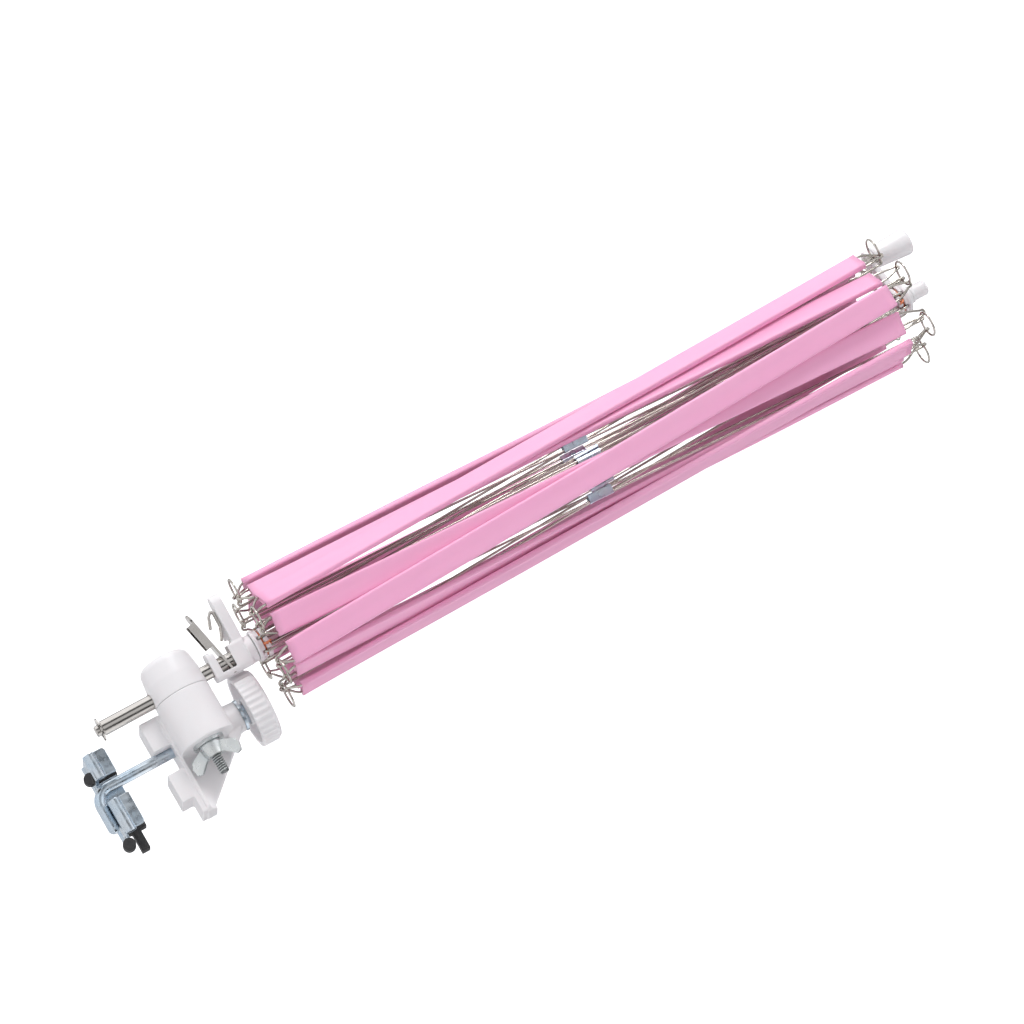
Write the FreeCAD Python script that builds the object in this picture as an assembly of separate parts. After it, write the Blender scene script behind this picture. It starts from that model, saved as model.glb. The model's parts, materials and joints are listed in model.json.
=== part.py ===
"""Umbrella yarn swift with its table clamp, folded, as an assembly of separate pieces.

Units are millimetres. The shaft points up (+Z). While the pieces are made, the shaft axis is X = Y = 0
and the clamp barrel's axis is Z = 0, along X. On export everything moves so that the origin is the
centre of the clamp foot's larger pad, the face that rests on the table edge.
"""
import FreeCAD, Part
import math
import os
from FreeCAD import Placement, Rotation, Vector

# ---- driving dimensions: the folding lattice ----
RIBS = 6
ARM_LENGTH = 390.0           # pivot to pivot, and also slat hinge to slat hinge
RING_RADIUS = 6.7            # mean radius of a rim ring, and of both hub pivot circles
FOLDED_RADIUS = 30.0         # shaft axis to the centre of a rim ring, folded
FIRST_RIB_AZIMUTH = 20.0
LOWER_PIVOT_Z = 49.0
LATTICE_WIRE = 1.3           # wire diameter of arms and slat frames
RING_WIRE = 1.2
EYE_RADIUS = 1.5             # mean radius of every wire eye, and half the gap between an arm's legs
ARM_BOW = 1.25               # sideways bow that lets crossing arms pass each other
SLAT_WIDTH = 13.0
SLAT_THICKNESS = 3.6
SLAT_WALL_SIDE = 1.3
SLAT_WALL_FACE = 0.95
TOP_BEND = 9.0               # hinge to the place where a slat's legs run parallel, at its top
BOTTOM_BEND = 5.0
TOP_BARE = 12.5              # hinge to the end of the sleeve; the sleeve has slid down the frame
BOTTOM_BARE = 6.5
SLAT_LEG_SPACING = 8.4
OUTER_SLAT_OFFSET = 3.4      # slats that lean one way pass outside the slats that lean the other way
INNER_SLAT_OFFSET = -1.0
CLIP_LENGTH = 14.0
CLIP_SHEET = 0.3
CLIP_CORNER = 0.5
RIVET_RADIUS = 0.7
RIVET_HEAD_RADIUS = 1.5
RIVET_HEAD = 0.6
TIE_WIRE = 0.9
TIE_TWIST = 4.0              # how far the twisted ends stand off the tie ring

# ---- driving dimensions: shaft, hubs and crank ----
RUNNING_FIT = 0.05
TUBE_RADIUS = 4.0
SPINDLE_RADIUS = 2.95
TUBE_BOTTOM = -43.0
SPINDLE_BOTTOM = -47.0
HUB_RADIUS = 8.0
HUB_SLOT = 1.8
CRANK_AZIMUTH = 170.0
CRANK_LENGTH = 29.0
CRANK_WIDTH = 5.6
CRANK_TIP_RADIUS = 5.6
CRANK_PIN_RADIUS = 1.5
CRANK_PIN_HEAD = 2.6
CRANK_KNOB_LENGTH = 22.0
CRANK_KNOB_SMALL = 6.1
CRANK_KNOB_LARGE = 7.7
CAP_RADIUS = 4.3
CAP_HEIGHT = 10.5
CLIP_RING_RADIUS = 6.2

# ---- driving dimensions: clamp ----
BARREL_RADIUS = 15.0
SEAM_X = 4.7
BARREL_END_X = 31.7
HOLDER_END_X = -17.0
BOLT_RADIUS = 2.95
BOLT_END_X = 50.0
BOLT_CHAMFER = 0.6
WASHER_RADIUS = 8.6
WASHER_SHEET = 1.6
NUT_BASE_RADIUS = 6.2
NUT_LENGTH = 7.0
WING_SHEET = 2.4
WING_TILT = 20.0             # turn of the wings from upright
EYE_BODY_RADIUS = 7.0
EYE_BODY_HEIGHT = 7.0
ROD_RADIUS = 3.0
ROD_X = 24.7
ROD_Y = 15.0
ROD_TOP = 30.0
LEG_Z = -61.5
LEG_END_X = 45.0
ROD_BEND = 8.0
FOOT_X0 = 6.4
FOOT_X1 = 62.5
GROOVE_X0 = 22.7             # the groove between the pads, which the rod comes down through
GROOVE_X1 = 36.4
PAD_X1 = 52.5                # far end of the far pad
FOOT_DEPTH = 24.0
FOOT_FACE_Z = -26.0
PAD_HEIGHT = 9.6
TOE_RISE = 6.6               # underside of the toe above the pads' faces
FOOT_PLATE = 5.4
GUIDE_RADIUS = 8.6
CONE_RADIUS = 9.6            # foot of the cone under the knob
NECK_TOP = 22.6
HEX_RADIUS = 5.4
KNOB_RADIUS = 20.0
KNOB_BOTTOM = 26.0
KNOB_TOP = 37.5
KNOB_RIBS = 36
KNOB_WALL = 3.0
JAW_X0 = 6.5
JAW_X1 = 51.0
JAW_DEPTH = 21.0
JAW_SHEET = 2.0
JAW_FLANGE = 10.0            # height of the front flange above the sheet
JAW_NOTCH_X0 = 20.5
JAW_NOTCH_X1 = 33.0
JAW_CORNER = 2.0
FRONT_BEAD = 2.9
BACK_BEAD = 2.2
STRIP_HEIGHT = 10.9
STRIP_GAP = 0.8              # from the notch to the end of a rubber strip
WEB_LAP = 0.6
WEB_SHEET = 1.5
TONGUE_END_X = 61.5          # the rubber strip's lower part runs past the plate
TONGUE_LOW = 2.5
TONGUE_HIGH = 7.2
BUMPER_RADIUS = 3.4
BUMPER_DROP = 2.6            # bumper centre below the top of the sheet
NEAR_BUMPER_X = 18.0
FAR_BUMPER_X = 57.2
FINGER = 1.4                 # thickness of the metal finger that holds the far bumper
WING_REACH = 14.8            # room for the wing nut to turn

# ---- driving dimensions: latch ----
LATCH_AZIMUTH = 192.0
FIN_TOP = 41.0
FIN_THICKNESS = 5.8
TAB_LENGTH = 28.0
TAB_HALF_WIDTH = 5.4
LATCH_BOTTOM = 19.5
PIVOT_X = -5.6
PIVOT_Z = 29.6
LEVER_SHEET = 1.2
LEVER_LENGTH = 37.0
LEVER_HALF_WIDTH = 5.0
LEVER_LEAN = 13.0
LEVER_SIDE = 4.2               # height of the lever's folded sides
LEVER_SIDE_X = 11.0
KNUCKLE_RADIUS = 1.2
SPRING_WIRE_R = 0.6
SPRING_HALF_WIDTH = 1.9

# ---- values worked out from them ----
FOLDED_ANGLE = math.degrees(math.asin((FOLDED_RADIUS - 2 * RING_RADIUS) / ARM_LENGTH))
UPPER_PIVOT_Z = LOWER_PIVOT_Z + ARM_LENGTH * math.cos(math.radians(FOLDED_ANGLE))
PITCH = 360.0 / RIBS
WIRE_R = LATTICE_WIRE / 2
TUBE_TOP = UPPER_PIVOT_Z - 7.8
LATCH_TOP = LOWER_PIVOT_Z - 4.7
JAW_TOP = LEG_Z + ROD_RADIUS + JAW_SHEET
JAW_FRONT = ROD_Y - 6.5
JAW_BACK = JAW_FRONT + JAW_DEPTH
BEAD_Z = JAW_TOP + 1.6
WEB_Y = ROD_Y + 4.5
PAD_CENTRE = Vector((GROOVE_X1 + PAD_X1) / 2, ROD_Y, FOOT_FACE_Z)
X, Y, Z = Vector(1, 0, 0), Vector(0, 1, 0), Vector(0, 0, 1)


# ---- small shape helpers ----
def rod(start, end, radius):
    """Round bar between two points."""
    along = end - start
    return Part.makeCylinder(radius, along.Length, start, along)


def disc(radius, z0, z1, x=0.0, y=0.0):
    """Upright cylinder from z0 to z1."""
    return Part.makeCylinder(radius, z1 - z0, Vector(x, y, z0))


def block(x0, x1, y0, y1, z0, z1):
    return Part.makeBox(x1 - x0, y1 - y0, z1 - z0, Vector(x0, y0, z0))


def tube(outer, inner, z0, z1, x=0.0, y=0.0):
    return disc(outer, z0, z1, x, y).cut(disc(inner, z0 - 1, z1 + 1, x, y))


def joined(shapes):
    """One solid from touching or overlapping pieces."""
    return shapes[0].multiFuse(shapes[1:]).removeSplitter()


def without(shape, cutters):
    for cutter in cutters:
        shape = shape.cut(cutter)
    return shape


def obround(width, height, z0, z1, y=0.0):
    """Flat bar with full-round sides, upright, wide along X."""
    r = height / 2
    half = width / 2 - r
    corners = [Vector(x, y + side, z0) for x, side in ((-half, -r), (half, -r), (half, r), (-half, r))]
    right = Part.Arc(corners[1], Vector(half + r, y, z0), corners[2]).toShape()
    left = Part.Arc(corners[3], Vector(-half - r, y, z0), corners[0]).toShape()
    bottom = Part.makeLine(corners[0], corners[1])
    top = Part.makeLine(corners[2], corners[3])
    return Part.Face(Part.Wire([bottom, right, top, left])).extrude(Vector(0, 0, z1 - z0))


def prism(points, along):
    """Straight prism on a closed outline."""
    return Part.Face(Part.makePolygon(points + points[:1])).extrude(along)


def revolved(profile, centre, axis):
    """Solid of revolution of a closed outline."""
    return Part.Face(Part.makePolygon(profile + profile[:1])).revolve(centre, axis, 360)


def turned(shape, axis, degrees, centre=Vector(0, 0, 0)):
    copy = shape.copy()
    copy.rotate(centre, axis, degrees)
    return copy


def placed(shape, origin, azimuth, lean_axis, lean):
    """Lean a shape made at the origin, turn it to its azimuth, and move it to its hinge."""
    spin = Rotation(Z, azimuth)
    copy = shape.copy()
    copy.Placement = Placement(origin, spin.multiply(Rotation(lean_axis, lean)))
    return copy


def polar(radius, azimuth, z):
    a = math.radians(azimuth)
    return Vector(radius * math.cos(a), radius * math.sin(a), z)


def rib_azimuth(k):
    return FIRST_RIB_AZIMUTH + PITCH * k


# ---- folding lattice ----
def eye(z, side):
    """Half-round wire bend about Y at height z; side is +1 for the top of a loop, -1 for its bottom."""
    half = Part.makeTorus(EYE_RADIUS, WIRE_R, Vector(0, 0, 0), Z, 0, 360, 180)
    half = turned(half, X, 90 * side)
    half.translate(Vector(0, 0, z))
    return half


def wire_through(points):
    """Bent wire through points, with rounded corners."""
    pieces = [rod(a, b, WIRE_R) for a, b in zip(points, points[1:])]
    pieces += [Part.makeSphere(WIRE_R, p) for p in points[1:-1]]
    return pieces


def arm(bow):
    """A long wire loop, hung from its eye at the origin, and the clip at the crossing."""
    middle = -ARM_LENGTH / 2
    pieces = [eye(0, 1), eye(-ARM_LENGTH, -1)]
    for side in (-EYE_RADIUS, EYE_RADIUS):
        points = [
            Vector(side, 0, 0.01),
            Vector(side, 0, -0.8),
            Vector(side, bow, middle),
            Vector(side, 0, -ARM_LENGTH + 0.8),
            Vector(side, 0, -ARM_LENGTH - 0.01),
        ]
        pieces += wire_through(points)
    loop = joined(pieces)
    inner_x, inner_y = EYE_RADIUS + WIRE_R + 0.03, WIRE_R + 0.1
    z0, z1 = middle - CLIP_LENGTH / 2, middle + CLIP_LENGTH / 2
    outer_x, outer_y = inner_x + CLIP_SHEET, inner_y + CLIP_SHEET
    shell = block(-outer_x, outer_x, bow - outer_y, bow + outer_y, z0, z1)
    edges = [e for e in shell.Edges if abs(e.tangentAt(e.FirstParameter).z) > 0.9]
    shell = shell.makeFillet(CLIP_CORNER, edges)
    hole = rod(Vector(0, -5, middle), Vector(0, 5, middle), RIVET_RADIUS + RUNNING_FIT)
    hollow = block(-inner_x, inner_x, bow - inner_y, bow + inner_y, z0 - 1, z1 + 1)
    return [loop, shell.cut(hollow).cut(hole)], ARM_BOW + outer_y


def rivet(reach):
    middle = -ARM_LENGTH / 2
    gap = 0.1
    pin = rod(Vector(0, -reach - gap, middle), Vector(0, reach + gap, middle), RIVET_RADIUS)
    heads = []
    for side in (-1, 1):
        face = side * (reach + gap)
        outer_face = face + side * RIVET_HEAD
        heads.append(rod(Vector(0, face, middle), Vector(0, outer_face, middle), RIVET_HEAD_RADIUS))
    return joined([pin] + heads)


def slat(offset):
    """Wire frame with an eye at each end, in a flat sleeve that stands off the hinge line by offset."""
    pieces = [eye(0, 1), eye(-ARM_LENGTH, -1)]
    for side in (-1, 1):
        foot, leg = side * EYE_RADIUS, side * SLAT_LEG_SPACING / 2
        points = [
            Vector(foot, 0, 0.01),
            Vector(foot, 0, -0.8),
            Vector(leg, offset, -TOP_BEND),
            Vector(leg, offset, BOTTOM_BEND - ARM_LENGTH),
            Vector(foot, 0, -ARM_LENGTH + 0.8),
            Vector(foot, 0, -ARM_LENGTH - 0.01),
        ]
        pieces += wire_through(points)
    frame = joined(pieces)
    low = BOTTOM_BARE - ARM_LENGTH
    sleeve = obround(SLAT_WIDTH, SLAT_THICKNESS, low, -TOP_BARE, offset)
    inner_width, inner_thickness = SLAT_WIDTH - 2 * SLAT_WALL_SIDE, SLAT_THICKNESS - 2 * SLAT_WALL_FACE
    bore = obround(inner_width, inner_thickness, low - 1, 1 - TOP_BARE, offset)
    return [frame, sleeve.cut(bore)]


def rim_ring(azimuth, z):
    return Part.makeTorus(RING_RADIUS, RING_WIRE / 2, polar(FOLDED_RADIUS, azimuth, z), Z)


def lattice():
    """Arms, rings and slats, each placed folded."""
    made = {}
    upper, reach = arm(ARM_BOW)
    lower, _ = arm(-ARM_BOW)
    upper.append(rivet(reach))
    outer, inner = slat(OUTER_SLAT_OFFSET), slat(INNER_SLAT_OFFSET)
    rim = FOLDED_RADIUS - RING_RADIUS
    for k in range(RIBS):
        a, n = rib_azimuth(k), k + 1
        top = polar(FOLDED_RADIUS, a, UPPER_PIVOT_Z)
        at_hub = polar(RING_RADIUS, a, UPPER_PIVOT_Z)
        at_rim = polar(rim, a, UPPER_PIVOT_Z)
        made[f"upper_arm_{n}"] = [placed(s, at_hub, a, Y, -FOLDED_ANGLE) for s in upper]
        made[f"lower_arm_{n}"] = [placed(s, at_rim, a, Y, FOLDED_ANGLE) for s in lower]
        made[f"top_ring_{n}"] = [rim_ring(a, UPPER_PIVOT_Z)]
        made[f"bottom_ring_{n}"] = [rim_ring(a, LOWER_PIVOT_Z)]
        after, before = a + PITCH / 2, a - PITCH / 2
        outer_at = top + polar(RING_RADIUS, after + 90, 0)
        inner_at = top + polar(RING_RADIUS, before - 90, 0)
        made[f"outer_slat_{n}"] = [placed(s, outer_at, after - 90, Y, FOLDED_ANGLE) for s in outer]
        made[f"inner_slat_{n}"] = [placed(s, inner_at, before - 90, Y, -FOLDED_ANGLE) for s in inner]
    return made


# ---- hubs, spindle and crank ----
def hub_slots(z0, z1, from_radius):
    slots = []
    for k in range(RIBS):
        slot = block(from_radius, HUB_RADIUS + 6, -HUB_SLOT / 2, HUB_SLOT / 2, z0, z1)
        slots.append(turned(slot, Z, rib_azimuth(k)))
    return slots


def tie_groove(z):
    """Round groove that the tie wire lies in, open to the outside."""
    size = TIE_WIRE / 2 + 0.1
    return tube(HUB_RADIUS + 2, RING_RADIUS - size, z - size, z + size)


def top_hub():
    """Slotted head with the crank lever moulded on it."""
    z = UPPER_PIVOT_Z
    core = disc(4.5, TUBE_TOP + 0.2, z + 2.6)
    crown = disc(HUB_RADIUS, z - 3.0, z + 2.6)
    flange = disc(HUB_RADIUS + 0.5, z + 2.5, z + 4.6)
    neck = disc(5.2, z + 4.5, z + 7.2)
    lever = block(0, CRANK_LENGTH, -CRANK_WIDTH / 2, CRANK_WIDTH / 2, z - 1.3, z + 2.7)
    tip = disc(CRANK_TIP_RADIUS, z - 1.3, z + 2.7, CRANK_LENGTH)
    lever = turned(joined([lever, tip]), Z, CRANK_AZIMUTH)
    hub = joined([core, crown, flange, neck, lever])
    cutters = hub_slots(z - 12, z + 2.5, 4.5)
    cutters += [tie_groove(z), disc(SPINDLE_RADIUS, TUBE_TOP - 1, z + 9)]
    pin_at = polar(CRANK_LENGTH, CRANK_AZIMUTH, 0)
    cutters.append(disc(CRANK_PIN_RADIUS, z - 5, z + 5, pin_at.x, pin_at.y))
    return [without(hub, cutters)]


def top_cap():
    """Plug that covers the spindle's end."""
    z = UPPER_PIVOT_Z + 7.3
    cap = disc(CAP_RADIUS, z, z + CAP_HEIGHT)
    cap = cap.makeFillet(1.6, [e for e in cap.Edges if abs(e.BoundBox.ZMin - z - CAP_HEIGHT) < 0.01])
    collar = disc(CAP_RADIUS + 0.6, z, z + 1.4)
    return [joined([cap, collar]).cut(disc(SPINDLE_RADIUS, z - 1, z + 6.2))]


def tie_wire(z, azimuth):
    """Copper ring through the arm eyes, with its ends twisted together."""
    ring = Part.makeTorus(RING_RADIUS, TIE_WIRE / 2, Vector(0, 0, z), Z)
    start = polar(RING_RADIUS, azimuth, z)
    knot = rod(start, polar(RING_RADIUS + TIE_TWIST, azimuth, z), TIE_WIRE / 2 + 0.05)
    tail_start = polar(RING_RADIUS + TIE_TWIST - 0.4, azimuth, z)
    tail_end = polar(RING_RADIUS + TIE_TWIST, azimuth + 7, z - 2.4)
    tail = rod(tail_start, tail_end, TIE_WIRE / 2)
    return [joined([ring, knot, tail])]


def spindle():
    shaft = disc(SPINDLE_RADIUS, SPINDLE_BOTTOM, UPPER_PIVOT_Z + 13)
    shaft = shaft.makeChamfer(0.5, [e for e in shaft.Edges if abs(e.BoundBox.ZMax - SPINDLE_BOTTOM) < 0.01])
    groove = tube(SPINDLE_RADIUS + 1, 2.2, TUBE_BOTTOM - 1.7, TUBE_BOTTOM - 0.7)
    return [shaft.cut(groove)]


def spindle_clip():
    """E-clip that keeps the spindle in the tube."""
    z0 = TUBE_BOTTOM - 1.6
    ring = tube(CLIP_RING_RADIUS, 2.4, z0, z0 + 0.8)
    notch = block(0, 8, -1.9, 1.9, z0 - 1, z0 + 2)
    windows = [turned(block(3.4, 4.7, -1.7, 1.7, z0 - 1, z0 + 2), Z, a) for a in (110, 250)]
    return [without(ring, [notch] + windows)]


def shaft_tube():
    return [tube(TUBE_RADIUS, SPINDLE_RADIUS + RUNNING_FIT, TUBE_BOTTOM, TUBE_TOP)]


def crank_pin():
    z = UPPER_PIVOT_Z
    at = polar(CRANK_LENGTH, CRANK_AZIMUTH, 0)
    low, high = z - 1.3, z + CRANK_KNOB_LENGTH + 1.4
    shank = disc(CRANK_PIN_RADIUS, low, high, at.x, at.y)
    low_head = disc(CRANK_PIN_HEAD, low - 0.8, low, at.x, at.y)
    high_head = disc(CRANK_PIN_HEAD, high, high + 0.8, at.x, at.y)
    return [joined([shank, low_head, high_head])]


def crank_knob():
    """Tapered handle that turns on the crank pin, wider at its free end."""
    z0 = UPPER_PIVOT_Z + 3.0
    z1 = z0 + CRANK_KNOB_LENGTH
    at = polar(CRANK_LENGTH, CRANK_AZIMUTH, 0)
    bore = CRANK_PIN_RADIUS + RUNNING_FIT
    sink = CRANK_PIN_HEAD + 1.0
    profile = [
        Vector(bore, 0, z0),
        Vector(CRANK_KNOB_SMALL - 0.5, 0, z0),
        Vector(CRANK_KNOB_SMALL, 0, z0 + 0.6),
        Vector(CRANK_KNOB_LARGE, 0, z1 - 1.6),
        Vector(CRANK_KNOB_LARGE - 0.5, 0, z1 - 0.4),
        Vector(CRANK_KNOB_LARGE - 1.3, 0, z1),
        Vector(sink, 0, z1),
        Vector(sink, 0, z1 - 2.2),
        Vector(bore, 0, z1 - 2.2),
    ]
    knob = revolved(profile, Vector(0, 0, 0), Z)
    knob.translate(at)
    return [knob]


def lower_hub():
    """Slotted runner that slides and turns on the tube."""
    z = LOWER_PIVOT_Z
    crown = disc(HUB_RADIUS, z - 2.5, z + 3.0)
    flange = disc(HUB_RADIUS + 0.5, z - 4.4, z - 2.4)
    hub = joined([crown, flange])
    cutters = hub_slots(z - 2.4, z + 12, 0)
    cutters += [tie_groove(z), disc(TUBE_RADIUS + RUNNING_FIT, z - 9, z + 9)]
    return [without(hub, cutters)]


# ---- latch that grips the tube under the runner ----
def latch_body():
    """Moulded grip: a collar on the tube, a finger tab, and a cage for the lever. Made pointing to +X."""
    collar = disc(7.4, FIN_TOP - 1, LATCH_TOP)
    tab = block(-6.6, TAB_LENGTH, -TAB_HALF_WIDTH, TAB_HALF_WIDTH, FIN_TOP - FIN_THICKNESS, FIN_TOP)
    tip = disc(TAB_HALF_WIDTH, FIN_TOP - FIN_THICKNESS, FIN_TOP, TAB_LENGTH)
    cage = block(-7.6, 8.5, -6.2, 6.2, LATCH_BOTTOM, FIN_TOP - 0.5)
    cage = cage.makeFillet(3.0, [e for e in cage.Edges if abs(e.tangentAt(e.FirstParameter).z) > 0.9])
    under_fin = FIN_TOP - FIN_THICKNESS
    rib_outline = [
        Vector(8.4, -1, under_fin + 0.1),
        Vector(20, -1, under_fin + 0.1),
        Vector(8.4, -1, under_fin - 3),
    ]
    rib = prism(rib_outline, Vector(0, 2, 0))
    body = joined([collar, tab, tip, cage, rib])
    half = LEVER_HALF_WIDTH + 0.3
    window = block(-4.2, 9.5, -half, half, LATCH_BOTTOM + 2.4, FIN_TOP - FIN_THICKNESS - 0.6)
    side = block(-4.2, 9.5, -7, 7, LATCH_BOTTOM + 4.4, FIN_TOP - FIN_THICKNESS - 3.4)
    seat = rod(Vector(PIVOT_X, -half, PIVOT_Z), Vector(PIVOT_X, half, PIVOT_Z), KNUCKLE_RADIUS + 0.1)
    throat = block(PIVOT_X, -4, -half, half, PIVOT_Z - KNUCKLE_RADIUS - 0.1, PIVOT_Z + KNUCKLE_RADIUS + 0.1)
    bore = disc(TUBE_RADIUS + RUNNING_FIT, LATCH_BOTTOM - 1, LATCH_TOP + 1)
    return [turned(without(body, [window, side, seat, throat, bore]), Z, LATCH_AZIMUTH)]


def latch_lever():
    """Steel channel with a hole for the tube; squeezed towards the tab it lets the tube slide."""
    z1 = PIVOT_Z + LEVER_SHEET / 2
    half = LEVER_HALF_WIDTH
    plate = block(PIVOT_X, PIVOT_X + LEVER_LENGTH - half, -half, half, z1 - LEVER_SHEET, z1)
    tip = disc(half, z1 - LEVER_SHEET, z1, PIVOT_X + LEVER_LENGTH - half)
    knuckle = rod(Vector(PIVOT_X, -half, PIVOT_Z), Vector(PIVOT_X, half, PIVOT_Z), KNUCKLE_RADIUS)
    pieces = [plate, tip, knuckle]
    for y in (-half, half - LEVER_SHEET):
        side = block(LEVER_SIDE_X, PIVOT_X + LEVER_LENGTH - half, y, y + LEVER_SHEET, z1 - LEVER_SIDE, z1)
        pieces.append(side)
    lever = turned(joined(pieces), Y, LEVER_LEAN, Vector(PIVOT_X, 0, PIVOT_Z))
    hole = obround(8.9, 8.6, LATCH_BOTTOM, FIN_TOP)
    return [turned(lever.cut(hole), Z, LATCH_AZIMUTH)]


def latch_spring():
    """Bent wire spring between the tab and the lever."""
    z_tab = FIN_TOP - FIN_THICKNESS
    bends = ((11.0, 3.4), (17.6, 0.75), (25.0, 0.75), (26.4, 2.0), (24.4, 3.8), (18.6, 5.9))
    pieces = []
    ends = []
    for y in (-SPRING_HALF_WIDTH, SPRING_HALF_WIDTH):
        points = [Vector(x, y, z_tab - drop) for x, drop in bends]
        pieces += [rod(a, b, SPRING_WIRE_R) for a, b in zip(points, points[1:])]
        pieces += [Part.makeSphere(SPRING_WIRE_R, p) for p in points]
        ends.append(points[-1])
    pieces.append(rod(ends[0], ends[1], SPRING_WIRE_R))
    return [turned(joined(pieces), Z, LATCH_AZIMUTH)]


# ---- clamp ----
def shaft_holder():
    """Outer half of the barrel: the tube passes through it, and it turns to tilt the shaft."""
    profile = [
        Vector(HOLDER_END_X, 0, 0), Vector(SEAM_X, 0, 0), Vector(SEAM_X, 0, BARREL_RADIUS),
        Vector(-5, 0, BARREL_RADIUS), Vector(HOLDER_END_X, 0, 13.4),
    ]
    cap = revolved(profile, Vector(0, 0, 0), X)
    cap = cap.makeFillet(4.5, [e for e in cap.Edges if abs(e.BoundBox.XMax - HOLDER_END_X) < 0.01])
    pocket = disc(EYE_BODY_RADIUS + 0.3, -EYE_BODY_HEIGHT / 2 - 0.3, EYE_BODY_HEIGHT / 2 + 0.3)
    mouth = block(
        0, SEAM_X + 1, -EYE_BODY_RADIUS - 0.3, EYE_BODY_RADIUS + 0.3,
        -EYE_BODY_HEIGHT / 2 - 0.3, EYE_BODY_HEIGHT / 2 + 0.3,
    )
    bore = disc(TUBE_RADIUS + RUNNING_FIT, -20, 20)
    return [without(cap, [pocket, mouth, bore])]


def eye_bolt():
    """Bolt whose eye goes round the tube inside the holder."""
    half = EYE_BODY_HEIGHT / 2
    head = disc(EYE_BODY_RADIUS, -half, half)
    shank = rod(Vector(4, 0, 0), Vector(BOLT_END_X, 0, 0), BOLT_RADIUS)
    rim = [e for e in shank.Edges if abs(e.BoundBox.XMin - BOLT_END_X) < 0.01]
    shank = shank.makeChamfer(BOLT_CHAMFER, rim)
    return [joined([head, shank]).cut(disc(TUBE_RADIUS + 0.1, -half - 1, half + 1))]


def clamp_body():
    """Moulded body: barrel, rod guide, and the foot with two pads that rest on the table."""
    y0, y1 = ROD_Y - FOOT_DEPTH / 2, ROD_Y + FOOT_DEPTH / 2
    plate_bottom = FOOT_FACE_Z + PAD_HEIGHT
    plate_top = plate_bottom + FOOT_PLATE
    barrel = rod(Vector(SEAM_X, 0, 0), Vector(BARREL_END_X, 0, 0), BARREL_RADIUS)
    plate = block(FOOT_X0, FOOT_X1, y0, y1, plate_bottom, plate_top)
    plate = plate.makeFillet(3.0, [e for e in plate.Edges if abs(e.tangentAt(e.FirstParameter).z) > 0.9])
    pads = []
    for x0, x1 in ((FOOT_X0, GROOVE_X0), (GROOVE_X1, PAD_X1)):
        pads.append(block(x0, x1, y0 + 1, y1 - 1, FOOT_FACE_Z, plate_bottom + 1))
    toe = block(GROOVE_X1, FOOT_X1 - 0.5, y0 + 1, y1 - 1, FOOT_FACE_Z + TOE_RISE, plate_bottom + 1)
    web = block(FOOT_X0 + 2, BARREL_END_X, 0, ROD_Y + 4, plate_top - 2, 0)
    outline = [
        Vector(ROD_X, 9, NECK_TOP - 2.6),
        Vector(ROD_X + 7.5, 9, NECK_TOP - 2.6),
        Vector(FOOT_X1 - 2.5, 9, plate_top - 0.2),
        Vector(ROD_X, 9, plate_top - 0.2),
    ]
    gusset = prism(outline, Vector(0, 12, 0))
    guide = disc(GUIDE_RADIUS, plate_top - 2, 12, ROD_X, ROD_Y)
    cone = Part.makeCone(CONE_RADIUS, CONE_RADIUS - 1.4, NECK_TOP - 6, Vector(ROD_X, ROD_Y, 6))
    body = joined([barrel, plate, toe, web, gusset, guide, cone] + pads)
    cutters = [
        rod(Vector(SEAM_X - 1, 0, 0), Vector(SEAM_X + 4, 0, 0), EYE_BODY_RADIUS + 1.1),
        rod(Vector(SEAM_X, 0, 0), Vector(BARREL_END_X + 5, 0, 0), BOLT_RADIUS + 0.15),
        disc(ROD_RADIUS + 0.1, FOOT_FACE_Z - 1, NECK_TOP + 5, ROD_X, ROD_Y),
        rod(Vector(BARREL_END_X, 0, 0), Vector(FOOT_X1, 0, 0), WING_REACH),
        block(GROOVE_X0, GROOVE_X1, y0 - 1, y1 + 1, FOOT_FACE_Z - 1, plate_bottom),
    ]
    return [without(body, cutters)]


def bolt_washer():
    washer = rod(Vector(BARREL_END_X, 0, 0), Vector(BARREL_END_X + WASHER_SHEET, 0, 0), WASHER_RADIUS)
    return [washer.cut(rod(Vector(0, 0, 0), Vector(60, 0, 0), BOLT_RADIUS + 0.25))]


def wing_nut():
    """Nut with two outspread wings, turned a little from upright."""
    x0 = BARREL_END_X + WASHER_SHEET
    x1 = x0 + NUT_LENGTH
    profile = [
        Vector(x0, 0, 0),
        Vector(x0, 0, NUT_BASE_RADIUS),
        Vector(x0 + 1.2, 0, NUT_BASE_RADIUS),
        Vector(x1, 0, NUT_BASE_RADIUS - 1.6),
        Vector(x1, 0, 0),
    ]
    hub = revolved(profile, Vector(0, 0, 0), X)
    face = -WING_SHEET / 2
    outline = [
        Vector(x0 + 0.6, face, 4.0),
        Vector(x0 + 1.0, face, 7.0),
        Vector(x0 + 4.2, face, 12.6),
        Vector(x0 + 7.0, face, 14.0),
        Vector(x0 + 11.4, face, 13.2),
        Vector(x0 + 12.0, face, 10.4),
        Vector(x0 + 8.0, face, 6.0),
        Vector(x0 + 6.4, face, 4.0),
    ]
    wing = prism(outline, Vector(0, WING_SHEET, 0))
    corners = [e for e in wing.Edges if abs(e.tangentAt(e.FirstParameter).y) > 0.9 and e.BoundBox.ZMin > 8]
    wing = wing.makeFillet(1.2, corners)
    nut = joined([hub, wing, turned(wing, X, 180)])
    nut = nut.cut(rod(Vector(0, 0, 0), Vector(60, 0, 0), BOLT_RADIUS + RUNNING_FIT))
    return [turned(nut, X, WING_TILT)]


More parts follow.
